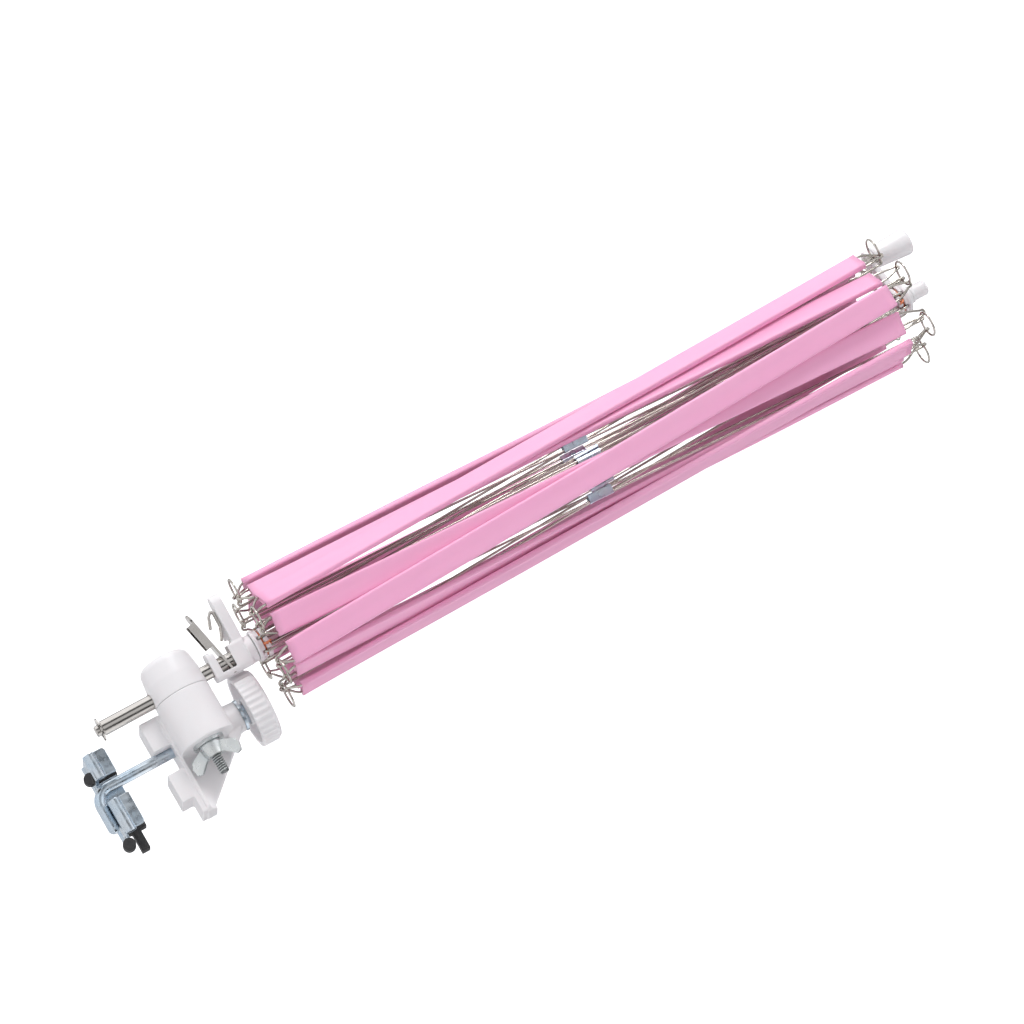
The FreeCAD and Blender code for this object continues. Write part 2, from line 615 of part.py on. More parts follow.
def clamp_rod():
    """Rod with its end bent to carry the jaw; the upper end is threaded."""
    bend_z = LEG_Z + ROD_BEND
    upright = rod(Vector(ROD_X, ROD_Y, bend_z), Vector(ROD_X, ROD_Y, ROD_TOP), ROD_RADIUS)
    rim = [e for e in upright.Edges if abs(e.BoundBox.ZMin - ROD_TOP) < 0.01]
    upright = upright.makeChamfer(BOLT_CHAMFER, rim)
    bend = Part.makeTorus(ROD_BEND, ROD_RADIUS, Vector(0, 0, 0), Z, 0, 360, 90)
    bend = turned(turned(bend, X, 90), Y, 180)
    bend.translate(Vector(ROD_X + ROD_BEND, ROD_Y, bend_z))
    leg = rod(Vector(ROD_X + ROD_BEND, ROD_Y, LEG_Z), Vector(LEG_END_X, ROD_Y, LEG_Z), ROD_RADIUS)
    end = Part.makeSphere(ROD_RADIUS, Vector(LEG_END_X, ROD_Y, LEG_Z))
    return [joined([upright, bend, leg, end])]


def jaw_plate():
    """Folded steel jaw on the rod's bent leg: a sheet, a ridged front flange, a web and a back bead."""
    z0 = JAW_TOP - JAW_SHEET
    sheet = block(JAW_X0, JAW_X1, JAW_FRONT, JAW_BACK, z0, JAW_TOP)
    flange = block(JAW_X0, JAW_X1, JAW_FRONT - 1, JAW_FRONT + 1, z0, JAW_TOP + JAW_FLANGE)
    corners = []
    for edge in flange.Edges:
        if abs(edge.tangentAt(edge.FirstParameter).y) > 0.9 and edge.BoundBox.ZMin > JAW_TOP:
            corners.append(edge)
    flange = flange.makeFillet(JAW_CORNER, corners)
    ridge = rod(Vector(JAW_X0, JAW_FRONT, BEAD_Z), Vector(JAW_X1 + 1, JAW_FRONT, BEAD_Z), FRONT_BEAD)
    bead_z = JAW_TOP - JAW_SHEET / 2
    bead = rod(Vector(JAW_X0, JAW_BACK, bead_z), Vector(JAW_X1, JAW_BACK, bead_z), BACK_BEAD)
    finger = block(JAW_X1 - 3, FAR_BUMPER_X + 2, JAW_FRONT + 0.5, JAW_FRONT + 5.5, z0, z0 + FINGER)
    notch = block(JAW_NOTCH_X0, JAW_NOTCH_X1, JAW_FRONT - 5, ROD_Y + 3.4, z0 - 8, JAW_TOP + JAW_FLANGE + 1)
    web_x0, web_x1 = JAW_NOTCH_X0 - WEB_LAP, JAW_NOTCH_X1 + WEB_LAP
    web = block(web_x0, web_x1, WEB_Y, WEB_Y + WEB_SHEET, z0, JAW_TOP + JAW_FLANGE)
    plate = joined([sheet, flange, ridge, bead, finger]).cut(notch).fuse(web).removeSplitter()
    return [plate.cut(rod(Vector(0, ROD_Y, LEG_Z), Vector(80, ROD_Y, LEG_Z), ROD_RADIUS))]


def jaw_pads():
    """Rubber strips standing in the jaw, one with a tongue past its end, and two round bumpers below."""
    y0, y1 = ROD_Y + 4.5, JAW_BACK - BACK_BEAD - 0.3
    strips = []
    for x0, x1 in ((JAW_X0 + 1, JAW_NOTCH_X0 - STRIP_GAP), (JAW_NOTCH_X1 + STRIP_GAP, JAW_X1 - 0.5)):
        strip = block(x0, x1, y0, y1, JAW_TOP, JAW_TOP + STRIP_HEIGHT)
        along = [e for e in strip.Edges if abs(e.tangentAt(e.FirstParameter).x) > 0.9]
        strips.append(strip.makeFillet(0.8, along))
    tongue = block(JAW_X1 - 2, TONGUE_END_X, y0 + 0.2, y1 - 0.2, JAW_TOP + TONGUE_LOW, JAW_TOP + TONGUE_HIGH)
    z = JAW_TOP - BUMPER_DROP
    low, high = JAW_FRONT - 0.5, JAW_FRONT + 5.5
    far = rod(Vector(FAR_BUMPER_X, low, z), Vector(FAR_BUMPER_X, high, z), BUMPER_RADIUS)
    near_z = z - 1.0
    near = rod(Vector(NEAR_BUMPER_X, low, near_z), Vector(NEAR_BUMPER_X, high - 1, near_z), BUMPER_RADIUS)
    near = near.cut(block(0, 60, 0, 60, JAW_TOP - JAW_SHEET, JAW_TOP + 5))
    under = JAW_TOP - JAW_SHEET
    slot = block(JAW_X1, FAR_BUMPER_X + 2, JAW_FRONT + 0.5, JAW_FRONT + 5.5, under, under + FINGER)
    return [strips[0], joined([strips[1], tongue]), far.cut(slot), near]


def hexagonal(z0, height):
    """Hexagonal prism on the rod's axis."""
    centre = Vector(ROD_X, ROD_Y, z0)
    corners = [polar(HEX_RADIUS, 60 * i, 0) + centre for i in range(6)]
    return prism(corners, Vector(0, 0, height))


def knob_nut():
    """Washer and threaded insert under the knob."""
    washer = tube(8.5, ROD_RADIUS + 0.2, NECK_TOP, NECK_TOP + 1.4, ROD_X, ROD_Y)
    hexagon = hexagonal(NECK_TOP + 1.4, 8.6)
    bore = disc(ROD_RADIUS + RUNNING_FIT, NECK_TOP, NECK_TOP + 20, ROD_X, ROD_Y)
    return [washer, hexagon.cut(bore)]


def clamp_knob():
    """Ribbed hand knob with a hollow underside."""
    disc_body = disc(KNOB_RADIUS - 0.7, KNOB_BOTTOM, KNOB_TOP, ROD_X, ROD_Y)
    rim = [e for e in disc_body.Edges if abs(e.BoundBox.ZMin - KNOB_TOP) < 0.01 and e.BoundBox.ZLength < 0.01]
    disc_body = disc_body.makeFillet(2.0, rim)
    ribs = []
    for i in range(KNOB_RIBS):
        at = polar(KNOB_RADIUS - 1.0, 360.0 * i / KNOB_RIBS, 0) + Vector(ROD_X, ROD_Y, 0)
        ribs.append(disc(1.0, KNOB_BOTTOM, KNOB_TOP - 2.2, at.x, at.y))
    body = joined([disc_body] + ribs)
    hollow = tube(KNOB_RADIUS - KNOB_WALL, 7.4, KNOB_BOTTOM - 1, KNOB_BOTTOM + 6.5, ROD_X, ROD_Y)
    socket = hexagonal(NECK_TOP, 10.0)
    bore = disc(ROD_RADIUS + 0.3, KNOB_BOTTOM - 1, KNOB_TOP + 1, ROD_X, ROD_Y)
    return [without(body, [hollow, socket, bore])]


def all_parts():
    parts = {
        "clamp_body": clamp_body(),
        "clamp_knob": clamp_knob(),
        "knob_nut": knob_nut(),
        "clamp_rod": clamp_rod(),
        "jaw_plate": jaw_plate(),
        "jaw_pads": jaw_pads(),
        "shaft_holder": shaft_holder(),
        "eye_bolt": eye_bolt(),
        "bolt_washer": bolt_washer(),
        "wing_nut": wing_nut(),
        "shaft_tube": shaft_tube(),
        "spindle": spindle(),
        "spindle_clip": spindle_clip(),
        "top_hub": top_hub(),
        "top_cap": top_cap(),
        "crank_pin": crank_pin(),
        "crank_knob": crank_knob(),
        "upper_tie_wire": tie_wire(UPPER_PIVOT_Z, rib_azimuth(4) + PITCH / 2),
        "lower_hub": lower_hub(),
        "lower_tie_wire": tie_wire(LOWER_PIVOT_Z, rib_azimuth(4) + PITCH / 2),
        "latch_body": latch_body(),
        "latch_lever": latch_lever(),
        "latch_spring": latch_spring(),
    }
    parts.update(lattice())
    return parts


os.makedirs("parts", exist_ok=True)
for name, solids in all_parts().items():
    shape = Part.makeCompound(solids)
    shape.translate(-PAD_CENTRE)
    shape.exportStep(f"parts/{name}.step")
    state = "valid" if shape.isValid() else "INVALID"
    print(name, len(shape.Solids), "solids,", round(shape.Volume, 1), "mm3,", state)
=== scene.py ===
import json
import math
import random

import bmesh
import bpy
from mathutils import Matrix, Quaternion, Vector, noise


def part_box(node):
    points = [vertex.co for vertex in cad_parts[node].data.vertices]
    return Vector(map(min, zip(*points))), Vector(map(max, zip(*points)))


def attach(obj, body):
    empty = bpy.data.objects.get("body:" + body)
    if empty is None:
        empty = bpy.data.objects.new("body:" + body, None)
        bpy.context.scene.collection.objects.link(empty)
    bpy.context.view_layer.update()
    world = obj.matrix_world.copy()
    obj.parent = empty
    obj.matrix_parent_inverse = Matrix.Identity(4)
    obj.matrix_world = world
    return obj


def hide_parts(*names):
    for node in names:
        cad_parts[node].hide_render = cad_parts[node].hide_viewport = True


# A folding umbrella yarn swift: sleeves, wire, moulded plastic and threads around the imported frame.
# Everything is in metres, in the frame's own axes.

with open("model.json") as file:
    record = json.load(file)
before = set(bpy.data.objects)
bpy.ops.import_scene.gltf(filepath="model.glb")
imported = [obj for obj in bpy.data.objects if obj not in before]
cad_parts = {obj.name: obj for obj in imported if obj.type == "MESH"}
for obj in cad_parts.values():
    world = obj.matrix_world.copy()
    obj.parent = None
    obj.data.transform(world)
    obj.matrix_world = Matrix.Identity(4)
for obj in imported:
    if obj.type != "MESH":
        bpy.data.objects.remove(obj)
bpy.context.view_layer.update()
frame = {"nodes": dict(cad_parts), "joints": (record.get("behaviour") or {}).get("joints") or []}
nodes = frame["nodes"]
joints = {joint["name"]: joint for joint in frame["joints"]}

MM = 0.001
Z_UP = Vector((0, 0, 1))
RIBS = sum(1 for name in nodes if name.startswith("top_ring_"))
SHAFT = Vector(joints["spin"]["pos_m"])
UPPER_Z = SHAFT.z
LOWER_Z = joints["runner_pivot"]["pos_m"][2]
BARREL = Vector(joints["shaft_tilt"]["pos_m"])

# ---- camera and room ----
VIEW_AZIMUTH = 13.15
VIEW_ELEVATION = -13.05
VIEW_ROLL = 61.73
VIEW_DISTANCE = 1.927
LENS = 130.2
SENSOR = 36.0
AIM_HEIGHT = 0.227
AIM_LEFT = 0.0024
AIM_DOWN = 0.0031
FLOOR_Z = -0.42
FLOOR_SIZE = 12.0
FRONT_AXIS = (0.25, -0.9, -0.35)
FRONT_TONES = ((0.1, 1.0), (0.75, 0.5))
SIDE_TONES = (
    (-1.0, 0.95), (-0.80, 1.0), (-0.70, 0.05), (-0.42, 0.05), (-0.32, 1.0),
    (0.26, 1.0), (0.38, 0.04), (0.70, 0.04), (0.80, 1.0), (1.0, 0.9),
)
ROOM_STRENGTH = 1.5
KEY_POWER = 14
KEY_SIZE = 0.7
KEY_UP = 1.7
KEY_BACK = 0.8
FILL_POWER = 4
FILL_SIZE = 1.2
FILL_DOWN = 1.5
FILL_BACK = 0.9

# ---- sleeves and wire frames ----
FULL_OPEN = 60.0
SLEEVE_TOP = 12.5 * MM
SLEEVE_BOTTOM = 6.5 * MM
SLEEVE_HALF_WIDTH = 6.5 * MM
SLEEVE_HALF_THICKNESS = 1.8 * MM
SLEEVE_WALL = 0.8 * MM
SLEEVE_CORNER = 1.15 * MM
SLEEVE_STATIONS = 84
SLEEVE_DIP = 0.22 * MM
WIDTH_WAVE = 0.035
MEAN_THICKNESS = 0.93
THICKNESS_WAVE = 0.14
MOUTH_NARROWING = 0.03
MOUTH_SWELL = 0.10
SLEEVE_TWIST = 2.6
SLEEVE_BOW = 0.45 * MM
SLEEVE_DRIFT = 0.5 * MM
MOUTH_REACH = 14 * MM
CUT_SKEW = 0.7 * MM
CUT_REACH = 30 * MM
LATTICE_WIRE_RADIUS = 0.65 * MM
EYE_RADIUS = 1.5 * MM
EYE_STEPS = 12
EYE_END = 0.8 * MM
FRAME_BEND = 3 * MM
BEND_SHARE = 0.45
LEG_HALF_SPACING = 4.2 * MM
LEG_STARTS = (9 * MM, 5 * MM)
OUTER_OFFSET = 3.4 * MM
INNER_OFFSET = -1.0 * MM

# ---- threads ----
THREAD_PITCH = 1.25 * MM
THREAD_DEPTH = 0.7 * MM
THREAD_FLANK = 1.3
# Faces this far below the thread crest get the darker zinc as painted shade in the grooves.
GROOVE_SHADE_DEPTH = THREAD_DEPTH * 0.6
TIP_CHAMFER = 0.9 * MM
BOLT_RADIUS = 2.95 * MM
BOLT_HEAD_REACH = 7.6 * MM

# ---- copper ties ----
TIE_RADIUS = 0.45 * MM
TIE_RING = 6.7 * MM
TIE_AZIMUTH = 290
TIE_RING_POINTS = 64
STRAND_STEPS = 28
STRAND_TURNS = 1.6
STRAND_GAP = 0.2 * MM
STRAND_LENGTH = 4.6 * MM
STRAND_DROOP = 3.2 * MM
STRAND_OFFSET = 0.44 * MM
SPLAY = 1.3 * MM
SPLAY_START = 0.72

# ---- clip and rivet where two arms cross ----
CLIP_REACH = 7.3 * MM


# ---- mesh helpers ----
def new_object(name, mesh):
    piece = bpy.data.objects.new(name, mesh)
    bpy.context.scene.collection.objects.link(piece)
    return piece


def mesh_from(name, vertices, faces):
    """Smooth-shaded mesh from lists of points and faces."""
    mesh = bpy.data.meshes.new(name)
    mesh.from_pydata([tuple(v) for v in vertices], [], faces)
    mesh.validate()
    for polygon in mesh.polygons:
        polygon.use_smooth = True
    mesh.update()
    return mesh


def loft_faces(rows, sides, closed):
    """Quads between successive rings of points, and from the last ring to the first if closed."""
    faces = []
    for i in range(rows if closed else rows - 1):
        a, b = i * sides, ((i + 1) % rows) * sides
        for j in range(sides):
            k = (j + 1) % sides
            faces.append((a + j, a + k, b + k, b + j))
    return faces


def swept(name, path, radius, sides=12, closed=False):
    """Round wire along a path of points."""
    count = len(path)
    tangents = []
    for i in range(count):
        before = path[i - 1] if closed or i > 0 else path[i]
        after = path[(i + 1) % count] if closed or i < count - 1 else path[i]
        tangents.append((after - before).normalized())
    side = tangents[0].orthogonal().normalized()
    sideways = []
    for i in range(count):
        if i:
            side = tangents[i - 1].rotation_difference(tangents[i]) @ side
        side = (side - tangents[i] * side.dot(tangents[i])).normalized()
        sideways.append(side)
    twist = 0.0
    if closed:
        end = tangents[-1].rotation_difference(tangents[0]) @ side
        twist = math.atan2(tangents[0].dot(end.cross(sideways[0])), end.dot(sideways[0]))
    vertices = []
    for i, point in enumerate(path):
        u = Quaternion(tangents[i], twist * i / count) @ sideways[i]
        v = tangents[i].cross(u)
        for j in range(sides):
            a = 2 * math.pi * j / sides
            vertices.append(point + (u * math.cos(a) + v * math.sin(a)) * radius)
    faces = loft_faces(count, sides, closed)
    if not closed:
        faces.append(tuple(reversed(range(sides))))
        faces.append(tuple(range((count - 1) * sides, count * sides)))
    return mesh_from(name, vertices, faces)


def rounded_path(points, bend, steps=5):
    """Points joined by straight runs, with each corner rounded by about the bend radius."""
    made = [points[0]]
    for before, point, after in zip(points, points[1:], points[2:]):
        longest = min((before - point).length, (after - point).length) * BEND_SHARE
        reach = min(bend, longest)
        start = point + (before - point).normalized() * reach
        end = point + (after - point).normalized() * reach
        for s in range(steps + 1):
            t = s / steps
            made.append(start * (1 - t) ** 2 + point * 2 * t * (1 - t) + end * t ** 2)
    made.append(points[-1])
    return made


def joined_mesh(name, meshes):
    whole = bmesh.new()
    for mesh in meshes:
        whole.from_mesh(mesh)
    mesh = bpy.data.meshes.new(name)
    whole.to_mesh(mesh)
    whole.free()
    return mesh


# ---- material helpers ----
class Shader:
    """A Principled material under construction."""

    def __init__(self, name, color, roughness, metallic=0.0, **sockets):
        self.material = bpy.data.materials.new(name)
        self.material.use_nodes = True
        self.tree = self.material.node_tree
        self.body = self.tree.nodes["Principled BSDF"]
        self.color = color
        self.set("Base Color", (*color, 1))
        self.set("Roughness", roughness)
        self.set("Metallic", metallic)
        for socket, value in sockets.items():
            self.set(socket.replace("_", " "), value)
        self.where = self.node("ShaderNodeTexCoord").outputs["Object"]

    def set(self, socket, value):
        self.body.inputs[socket].default_value = value

    def node(self, kind, **settings):
        made = self.tree.nodes.new(kind)
        for key, value in settings.items():
            setattr(made, key, value)
        return made

    def link(self, start, end):
        self.tree.links.new(start, end)

    def stretched(self, scale):
        mapping = self.node("ShaderNodeMapping")
        mapping.inputs["Scale"].default_value = scale
        self.link(self.where, mapping.inputs["Vector"])
        return mapping.outputs["Vector"]

    def noise(self, scale, detail=3.0, roughness=0.5, stretch=(1, 1, 1)):
        made = self.node("ShaderNodeTexNoise")
        made.inputs["Scale"].default_value = scale
        made.inputs["Detail"].default_value = detail
        made.inputs["Roughness"].default_value = roughness
        self.link(self.stretched(stretch), made.inputs["Vector"])
        return made.outputs["Fac"]

    def remap(self, value, low, high, start=0.35, end=0.65):
        made = self.node("ShaderNodeMapRange")
        self.link(value, made.inputs["Value"])
        limits = {"From Min": start, "From Max": end, "To Min": low, "To Max": high}
        for key, number in limits.items():
            made.inputs[key].default_value = number
        return made.outputs["Result"]

    def tint(self, share, other, base=None):
        """Mix the base colour with another by a share from 0 to 1."""
        mix = self.node("ShaderNodeMix", data_type="RGBA")
        self.link(share, mix.inputs["Factor"])
        if base is None:
            mix.inputs["A"].default_value = (*self.color, 1)
        else:
            self.link(base, mix.inputs["A"])
        mix.inputs["B"].default_value = (*other, 1)
        self.link(mix.outputs["Result"], self.body.inputs["Base Color"])
        return mix.outputs["Result"]

    def rough(self, value):
        self.link(value, self.body.inputs["Roughness"])

    def bumps(self, *layers):
        """Bump layers as (height, strength, distance)."""
        normal = None
        for height, strength, distance in layers:
            bump = self.node("ShaderNodeBump")
            bump.inputs["Strength"].default_value = strength
            bump.inputs["Distance"].default_value = distance
            self.link(height, bump.inputs["Height"])
            if normal is not None:
                self.link(normal, bump.inputs["Normal"])
            normal = bump.outputs["Normal"]
        self.link(normal, self.body.inputs["Normal"])


def white_plastic():
    s = Shader("white_plastic", (0.86, 0.845, 0.86), 0.36, Subsurface_Weight=0.12, IOR=1.49)
    s.set("Subsurface Radius", (0.004, 0.003, 0.003))
    s.set("Subsurface Scale", 0.5)
    cloud = s.noise(45, detail=4)
    warm = s.tint(s.remap(cloud, 0.0, 0.35), (0.86, 0.825, 0.83))
    speck = s.noise(900, detail=2)
    s.tint(s.remap(speck, 0.0, 0.25, 0.66, 0.78), (0.70, 0.68, 0.68), warm)
    s.rough(s.remap(s.noise(260, detail=5), 0.30, 0.44))
    flow = s.noise(70, detail=2, stretch=(1, 1, 0.35))
    grain = s.noise(2600, detail=2)
    s.bumps((flow, 0.10, 0.0006), (grain, 0.07, 0.00012))
    return s.material


def pink_vinyl(name, shade):
    pink = tuple(c * shade for c in (0.95, 0.43, 0.66))
    s = Shader(name, pink, 0.40, Subsurface_Weight=0.10, IOR=1.52)
    s.set("Subsurface Radius", (0.004, 0.0012, 0.002))
    s.set("Subsurface Scale", 0.5)
    long_cloud = s.noise(60, detail=3, stretch=(1, 1, 0.08))
    paler = s.tint(s.remap(long_cloud, 0.0, 0.5), (0.97, 0.50, 0.71))
    scuff = s.noise(420, detail=6, roughness=0.7, stretch=(1, 1, 0.12))
    s.tint(s.remap(scuff, 0.0, 0.30, 0.62, 0.80), (0.98, 0.64, 0.80), paler)
    s.rough(s.remap(s.noise(190, detail=5, stretch=(1, 1, 0.2)), 0.33, 0.50))
    crease = s.noise(170, detail=2, stretch=(1, 1, 0.05))
    grain = s.noise(2200, detail=3)
    s.bumps((crease, 0.18, 0.0006), (grain, 0.06, 0.0001))
    return s.material


def drawn_wire():
    s = Shader("nickel_wire", (0.60, 0.565, 0.52), 0.17, metallic=1.0)
    tone = s.noise(240, detail=4, stretch=(1, 1, 0.15))
    s.tint(s.remap(tone, 0.0, 0.7), (0.40, 0.37, 0.33))
    s.rough(s.remap(s.noise(300, detail=3, stretch=(1, 1, 0.1)), 0.10, 0.24))
    s.bumps((s.noise(1200, detail=2, stretch=(1, 1, 0.04)), 0.05, 0.0001))
    return s.material


def polished_steel():
    s = Shader("polished_steel", (0.58, 0.555, 0.525), 0.2, metallic=1.0)
    s.tint(s.remap(s.noise(120, detail=4, stretch=(1, 1, 0.3)), 0.0, 0.6), (0.50, 0.48, 0.455))
    s.rough(s.remap(s.noise(420, detail=3, stretch=(1, 1, 0.05)), 0.12, 0.26))
    s.bumps((s.noise(1600, detail=2, stretch=(1, 1, 0.02)), 0.04, 0.0001))
    return s.material


def zinc_plate(name, color, blue):
    s = Shader(name, color, 0.34, metallic=1.0)
    spangle = s.node("ShaderNodeTexVoronoi")
    spangle.inputs["Scale"].default_value = 620
    s.link(s.where, spangle.inputs["Vector"])
    cloudy = s.tint(s.remap(s.noise(90, detail=4), 0.0, 0.85), blue)
    s.tint(s.remap(s.noise(380, detail=4), 0.0, 0.25, 0.5, 0.75), (0.48, 0.52, 0.55), cloudy)
    s.rough(s.remap(s.noise(260, detail=3), 0.22, 0.38))
    s.bumps((spangle.outputs["Distance"], 0.05, 0.0001), (s.noise(200, detail=2), 0.06, 0.0002))
    return s.material


def black_rubber():
    s = Shader("black_rubber", (0.018, 0.018, 0.02), 0.62)
    s.tint(s.remap(s.noise(300, detail=5), 0.0, 0.5), (0.045, 0.043, 0.042))
    s.rough(s.remap(s.noise(300, detail=3), 0.5, 0.72))
    s.bumps((s.noise(1100, detail=3), 0.12, 0.00012))
    return s.material


def bare_copper():
    s = Shader("bare_copper", (0.80, 0.30, 0.17), 0.28, metallic=1.0)
    s.tint(s.remap(s.noise(600, detail=4), 0.0, 0.7), (0.52, 0.17, 0.09))
    s.rough(s.remap(s.noise(900, detail=3), 0.2, 0.4))
    s.bumps((s.noise(2400, detail=2), 0.15, 0.0001))
    return s.material


def floor_paint():
    s = Shader("pale_floor", (0.86, 0.86, 0.86), 0.7)
    s.tint(s.remap(s.noise(1.2, detail=3), 0.0, 0.3), (0.83, 0.83, 0.84))
    return s.material


PLASTIC = white_plastic()
VINYLS = [pink_vinyl(f"pink_vinyl_{i}", shade) for i, shade in enumerate((1.0, 0.97, 1.02))]
WIRE = drawn_wire()
STEEL = polished_steel()
ZINC = zinc_plate("zinc_blue", (0.62, 0.67, 0.71), (0.50, 0.62, 0.73))
BRIGHT_ZINC = zinc_plate("zinc_bright", (0.70, 0.72, 0.71), (0.58, 0.62, 0.63))
# Darker zinc that paints shade into the bolt's thread grooves.
GROOVE_SHADE_ZINC = zinc_plate("zinc_painted_groove_shade", (0.20, 0.21, 0.21), (0.14, 0.15, 0.16))
RUBBER = black_rubber()
COPPER = bare_copper()


def paint(piece, *materials):
    piece.data.materials.clear()
    for material in materials:
        piece.data.materials.append(material)


# ---- slats: a wire frame inside a soft sleeve ----
class Slat:
    """Local axes of a slat at rest: across its width, out through its face, and down its length."""

    def __init__(self, kind, number):
        self.body = f"{kind}_slat_{number}"
        joint = joints[f"{self.body}_swing"]
        self.hinge = Vector(joint["pos_m"])
        axis = Vector(joint["axis"])
        self.outward = axis if kind == "outer" else -axis
        lean = math.radians(FULL_OPEN - joints["fold"]["range_deg"][1])
        turn = Quaternion(axis, lean)
        self.down = turn @ -Z_UP
        self.across = turn @ self.outward.cross(Z_UP)
        self.offset = OUTER_OFFSET if kind == "outer" else INNER_OFFSET
        self.length = (UPPER_Z - LOWER_Z) / math.cos(lean)

    def at(self, across, outward, down):
        return self.hinge + self.across * across + self.outward * outward + self.down * down


def wire_frame(slat, name):
    """One long wire bent into a loop, with a narrow eye at each end."""
    path = []
    for end in (0, 1):
        sign = 1 if end == 0 else -1
        base = 0.0 if end == 0 else slat.length
        for i in range(EYE_STEPS + 1):
            a = math.pi * i / EYE_STEPS
            across = -EYE_RADIUS * math.cos(a) * sign
            path.append(slat.at(across, 0, base - sign * EYE_RADIUS * math.sin(a)))
        first = base + sign * LEG_STARTS[end]
        second = slat.length - base - sign * LEG_STARTS[1 - end]
        side = LEG_HALF_SPACING * sign
        corners = [
            slat.at(sign * EYE_RADIUS, 0, base + sign * EYE_END),
            slat.at(side, slat.offset, first),
            slat.at(side, slat.offset, second),
            slat.at(sign * EYE_RADIUS, 0, slat.length - base - sign * EYE_END),
        ]
        path.extend(rounded_path(corners, FRAME_BEND))
    return new_object(name, swept(name, path, LATTICE_WIRE_RADIUS, closed=True))


def sleeve_section(half_width, half_thickness, corner, dip, arc_steps=4, flat_steps=5):
    """Outline of a flattened tube: flat faces that dip a little between two rounded edges."""
    outline = []
    corner = min(corner, half_thickness * 0.98)
    cu, cv = half_width - corner, half_thickness - corner
    for quarter in range(4):
        su = 1 if quarter in (0, 3) else -1
        sv = 1 if quarter in (0, 1) else -1
        for i in range(arc_steps + 1):
            a = math.pi / 2 * (quarter + i / arc_steps)
            outline.append((su * cu + corner * math.cos(a), sv * cv + corner * math.sin(a)))
        if quarter in (0, 2):
            for i in range(1, flat_steps):
                t = i / flat_steps
                u = su * cu * (1 - 2 * t)
                outline.append((u, sv * (half_thickness - dip * math.sin(math.pi * t))))
    return outline


def sleeve(slat, name, seed):
    """Soft tube over the wire frame, a little uneven along its length, open at both ends."""
    chance = random.Random(seed)
    phase = [chance.uniform(0, 100) for _ in range(5)]
    start, end = SLEEVE_TOP, slat.length - SLEEVE_BOTTOM
    cut = [chance.uniform(-1, 1) * CUT_SKEW for _ in range(2)]

    def wave(index, s, scale):
        """Slow unevenness from about -1 to 1 at a distance s down the slat."""
        return noise.noise(Vector((phase[index], s * scale, 0.5)))

    def station(s, inner):
        """Ring of points round the sleeve's outer or inner skin at a distance s down the slat."""
        near = min(s - start, end - s) / MOUTH_REACH
        mouth = max(0.0, 1 - near) ** 2
        wide = SLEEVE_HALF_WIDTH * (1 - WIDTH_WAVE * abs(wave(0, s, 9)) - MOUTH_NARROWING * mouth)
        fullness = MEAN_THICKNESS + THICKNESS_WAVE * wave(1, s, 14) + MOUTH_SWELL * mouth
        thick = SLEEVE_HALF_THICKNESS * fullness
        wall = SLEEVE_WALL if inner else 0.0
        section = sleeve_section(wide - wall, thick - wall, SLEEVE_CORNER - wall * 0.5, SLEEVE_DIP)
        twist = math.radians(SLEEVE_TWIST) * wave(2, s, 5)
        bow = SLEEVE_BOW * wave(3, s, 6)
        drift = SLEEVE_DRIFT * wave(4, s, 6)
        ring = []
        for u, v in section:
            across = u * math.cos(twist) - v * math.sin(twist) + drift
            outward = u * math.sin(twist) + v * math.cos(twist) + slat.offset + bow
            skew = cut[0] * u / SLEEVE_HALF_WIDTH * max(0, 1 - (s - start) / CUT_REACH)
            skew += cut[1] * u / SLEEVE_HALF_WIDTH * max(0, 1 - (end - s) / CUT_REACH)
            ring.append(slat.at(across, outward, s + skew))
        return ring

    vertices = []
    for inner in (False, True):
        for i in range(SLEEVE_STATIONS + 1):
            vertices.extend(station(start + (end - start) * i / SLEEVE_STATIONS, inner))
    rows = SLEEVE_STATIONS + 1
    sides = len(vertices) // (2 * rows)
    outer = loft_faces(rows, sides, False)
    inner_faces = [tuple(sides * rows + v for v in reversed(face)) for face in outer]
    faces = outer + inner_faces
    for row in (0, rows - 1):
        a, b = row * sides, (rows + row) * sides
        for j in range(sides):
            k = (j + 1) % sides
            quad = (a + j, b + j, b + k, a + k)
            faces.append(quad if row == 0 else tuple(reversed(quad)))
    return new_object(name, mesh_from(name, vertices, faces))


def make_slats():
    for number in range(1, RIBS + 1):
        for kind in ("outer", "inner"):
            slat = Slat(kind, number)
            wire = wire_frame(slat, f"{kind}_frame_{number}")
            paint(wire, WIRE)
            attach(wire, slat.body)
            seed = number * 2 + (kind == "outer")
            soft = sleeve(slat, f"{kind}_sleeve_{number}", seed)
            paint(soft, VINYLS[seed % len(VINYLS)])
            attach(soft, slat.body)
            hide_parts(slat.body)


# ---- pieces whose CAD shape gets softened edges: body, voxel in mm, material, slot ----
MOULDED = {
    "clamp_body": ("clamp", 0.40, PLASTIC, "white_plastic"),
    "shaft_holder": ("holder", 0.40, PLASTIC, "white_plastic"),
    "clamp_knob": ("knob", 0.32, PLASTIC, "white_plastic"),
    "top_hub": ("head", 0.30, PLASTIC, "white_plastic"),
    "top_cap": ("head", 0.30, PLASTIC, "white_plastic"),
    "crank_knob": ("crank_handle", 0.32, PLASTIC, "white_plastic"),
    "lower_hub": ("runner", 0.30, PLASTIC, "white_plastic"),
    "latch_body": ("latch", 0.32, PLASTIC, "white_plastic"),
    "jaw_plate": ("clamp_screw", 0.20, ZINC, "zinc"),
    "jaw_pads": ("clamp_screw", 0.28, RUBBER, "rubber"),
    "wing_nut": ("wing_nut", 0.18, BRIGHT_ZINC, "zinc"),
}
MERGE_DISTANCE = 0.001 * MM
SMOOTHING_PASSES = 6


